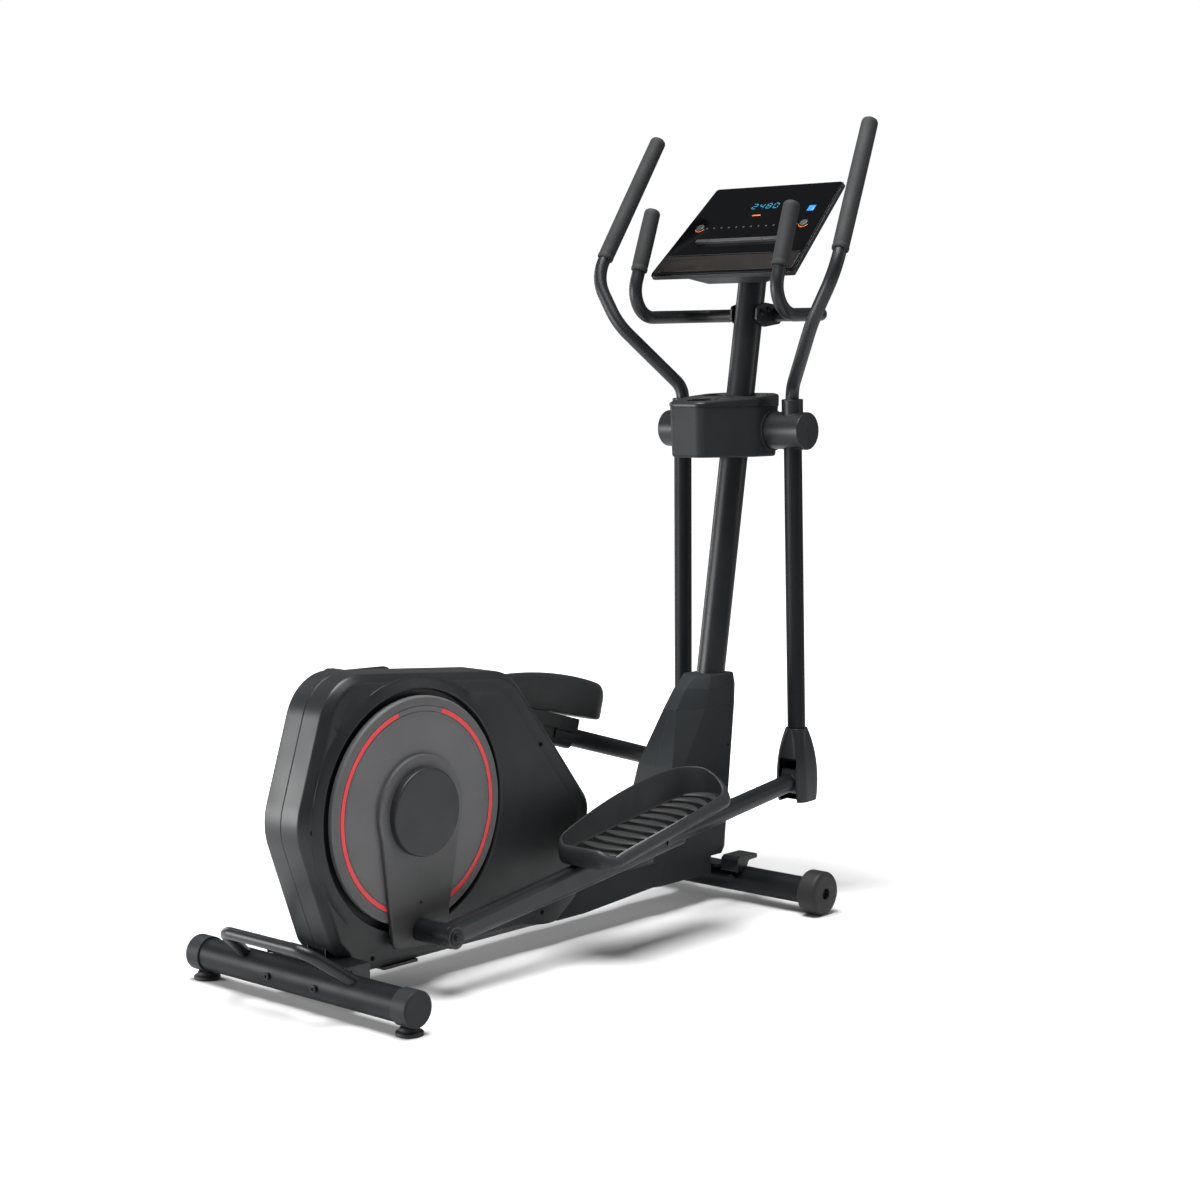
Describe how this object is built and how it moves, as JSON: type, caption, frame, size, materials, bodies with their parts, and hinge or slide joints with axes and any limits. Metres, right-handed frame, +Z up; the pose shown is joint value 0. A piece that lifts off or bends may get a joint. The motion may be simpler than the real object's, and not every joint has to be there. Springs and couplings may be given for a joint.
{
  "type": "elliptical trainer",
  "caption": "Rear-drive elliptical trainer with swinging arms, tray pedals, covered flywheel drive, raked post and tilted console.",
  "frame": {"origin": "floor level, under the centre of the machine's overall box", "axes": "+X forward to the console, +Y to the user's left, +Z up; the width is symmetric about y = 0"},
  "size_m": [1.4967, 0.6682, 1.6363],
  "materials": {
    "frame_paint": "satin powder coat",
    "housing_plastic": "fine spark texture",
    "disc_plastic": "satin",
    "pedal_plastic": "leather grain",
    "tread_rubber": "matt",
    "foam": "matt foam",
    "console_gloss": "gloss",
    "console_trim": "satin",
    "display_glass": "gloss",
    "circuit": "satin",
    "wheel_rubber": "matt",
    "bolt_steel": "black oxide",
    "bare_steel": "turned",
    "drive_plastic": "satin",
    "flywheel_iron": "machined"
  },
  "bodies": {
    "frame": {"main_frame": "frame_paint", "rear_stabilizer": "frame_paint", "rear_stabilizer_caps": "housing_plastic", "lift_handle": "frame_paint", "front_stabilizer": "frame_paint", "upright_post": "frame_paint", "frame_bolts": "bolt_steel", "crank_bearings": "bare_steel", "drive_belt": "tread_rubber", "idler_bracket": "bare_steel", "flywheel_axle": "bare_steel", "resistance_motor": "drive_plastic", "right_housing_shell": "housing_plastic", "left_housing_shell": "housing_plastic", "right_base_shroud": "housing_plastic", "left_base_shroud": "housing_plastic", "base_shroud_cap": "housing_plastic", "housing_screws": "bolt_steel", "pivot_axle": "bare_steel", "tray_body": "housing_plastic", "tray_lid": "housing_plastic", "console_back": "housing_plastic", "console_face": "console_gloss", "console_display": "display_glass", "console_board": "circuit", "console_ledge": "console_trim", "fixed_handlebar": "frame_paint", "fixed_grips": "foam", "handlebar_clamps": "frame_paint"},
    "crank": {"crank_axle": "bare_steel", "drive_pulley": "drive_plastic", "drive_discs": "disc_plastic", "crank_arms": "disc_plastic", "crank_hub_caps": "housing_plastic"},
    "flywheel": {"flywheel": "flywheel_iron", "flywheel_pulley": "flywheel_iron"},
    "idler": {"idler_pulley": "bare_steel"},
    "magnet_shoe": {"magnet_bracket": "bare_steel"},
    "right_swing": {"right_swing_arm": "frame_paint", "right_handlebar": "frame_paint", "right_handle_grip": "foam", "right_hub_cover": "housing_plastic", "right_boot": "housing_plastic"},
    "right_pedal": {"right_pedal_arm": "frame_paint", "right_pedal_tray": "pedal_plastic", "right_pedal_pad": "tread_rubber"},
    "right_wheel": {"right_transport_wheel": "wheel_rubber"},
    "right_foot": {"right_levelling_foot": "wheel_rubber"},
    "right_button": {"right_console_button": "console_trim"},
    "left_swing": {"left_swing_arm": "frame_paint", "left_handlebar": "frame_paint", "left_handle_grip": "foam", "left_hub_cover": "housing_plastic", "left_boot": "housing_plastic"},
    "left_pedal": {"left_pedal_arm": "frame_paint", "left_pedal_tray": "pedal_plastic", "left_pedal_pad": "tread_rubber"},
    "left_wheel": {"left_transport_wheel": "wheel_rubber"},
    "left_foot": {"left_levelling_foot": "wheel_rubber"},
    "left_button": {"left_console_button": "console_trim"}
  },
  "joints": [
    {"name": "crank_spin", "type": "hinge", "parent": "frame", "child": "crank", "pos_m": [-0.4286, 0, 0.327], "axis": [0, 1, 0], "continuous": true},
    {"name": "flywheel_spin", "type": "hinge", "parent": "frame", "child": "flywheel", "pos_m": [-0.1446, 0, 0.235], "axis": [0, 1, 0], "continuous": true},
    {"name": "idler_spin", "type": "hinge", "parent": "frame", "child": "idler", "pos_m": [-0.25159, 0, 0.18786], "axis": [0, 1, 0], "continuous": true},
    {"name": "magnet_lift", "type": "hinge", "parent": "frame", "child": "magnet_shoe", "pos_m": [-0.0816, 0, 0.344], "axis": [0, 1, 0], "range_deg": [0, 5]},
    {"name": "right_swing_pivot", "type": "hinge", "parent": "frame", "child": "right_swing", "pos_m": [0.5964, 0, 0.992], "axis": [0, 1, 0], "range_deg": [-16, 16]},
    {"name": "left_swing_pivot", "type": "hinge", "parent": "frame", "child": "left_swing", "pos_m": [0.5964, 0, 0.992], "axis": [0, 1, 0], "range_deg": [-16, 16]},
    {"name": "right_pedal_pivot", "type": "hinge", "parent": "right_swing", "child": "right_pedal", "pos_m": [0.6242, 0, 0.24852], "axis": [0, 1, 0], "range_deg": [-16, 16]},
    {"name": "left_pedal_pivot", "type": "hinge", "parent": "left_swing", "child": "left_pedal", "pos_m": [0.60404, 0, 0.24804], "axis": [0, 1, 0], "range_deg": [-16, 16]},
    {"name": "right_wheel_spin", "type": "hinge", "parent": "frame", "child": "right_wheel", "pos_m": [0.5004, -0.293, 0.0456], "axis": [0, 1, 0], "continuous": true},
    {"name": "right_foot_turn", "type": "hinge", "parent": "frame", "child": "right_foot", "pos_m": [-0.6446, -0.268, 0], "axis": [0, 0, 1], "continuous": true},
    {"name": "right_button_press", "type": "slide", "parent": "frame", "child": "right_button", "axis": [0.6845, 0, -0.729], "range_m": [0, 0.0012], "stiffness_N_per_m": 600},
    {"name": "left_wheel_spin", "type": "hinge", "parent": "frame", "child": "left_wheel", "pos_m": [0.5004, 0.293, 0.0456], "axis": [0, 1, 0], "continuous": true},
    {"name": "left_foot_turn", "type": "hinge", "parent": "frame", "child": "left_foot", "pos_m": [-0.6446, 0.268, 0], "axis": [0, 0, 1], "continuous": true},
    {"name": "left_button_press", "type": "slide", "parent": "frame", "child": "left_button", "axis": [0.6845, 0, -0.729], "range_m": [0, 0.0012], "stiffness_N_per_m": 600}
  ],
  "couplings": [
    {"joint": "flywheel_spin", "follows": "crank_spin", "ratio": 8.125},
    {"joint": "idler_spin", "follows": "crank_spin", "ratio": -6.5},
    {"joint": "left_swing_pivot", "follows": "right_swing_pivot", "ratio": -1},
    {"joint": "right_pedal_pivot", "follows": "right_swing_pivot", "ratio": -1},
    {"joint": "left_pedal_pivot", "follows": "right_swing_pivot", "ratio": 1}
  ]
}
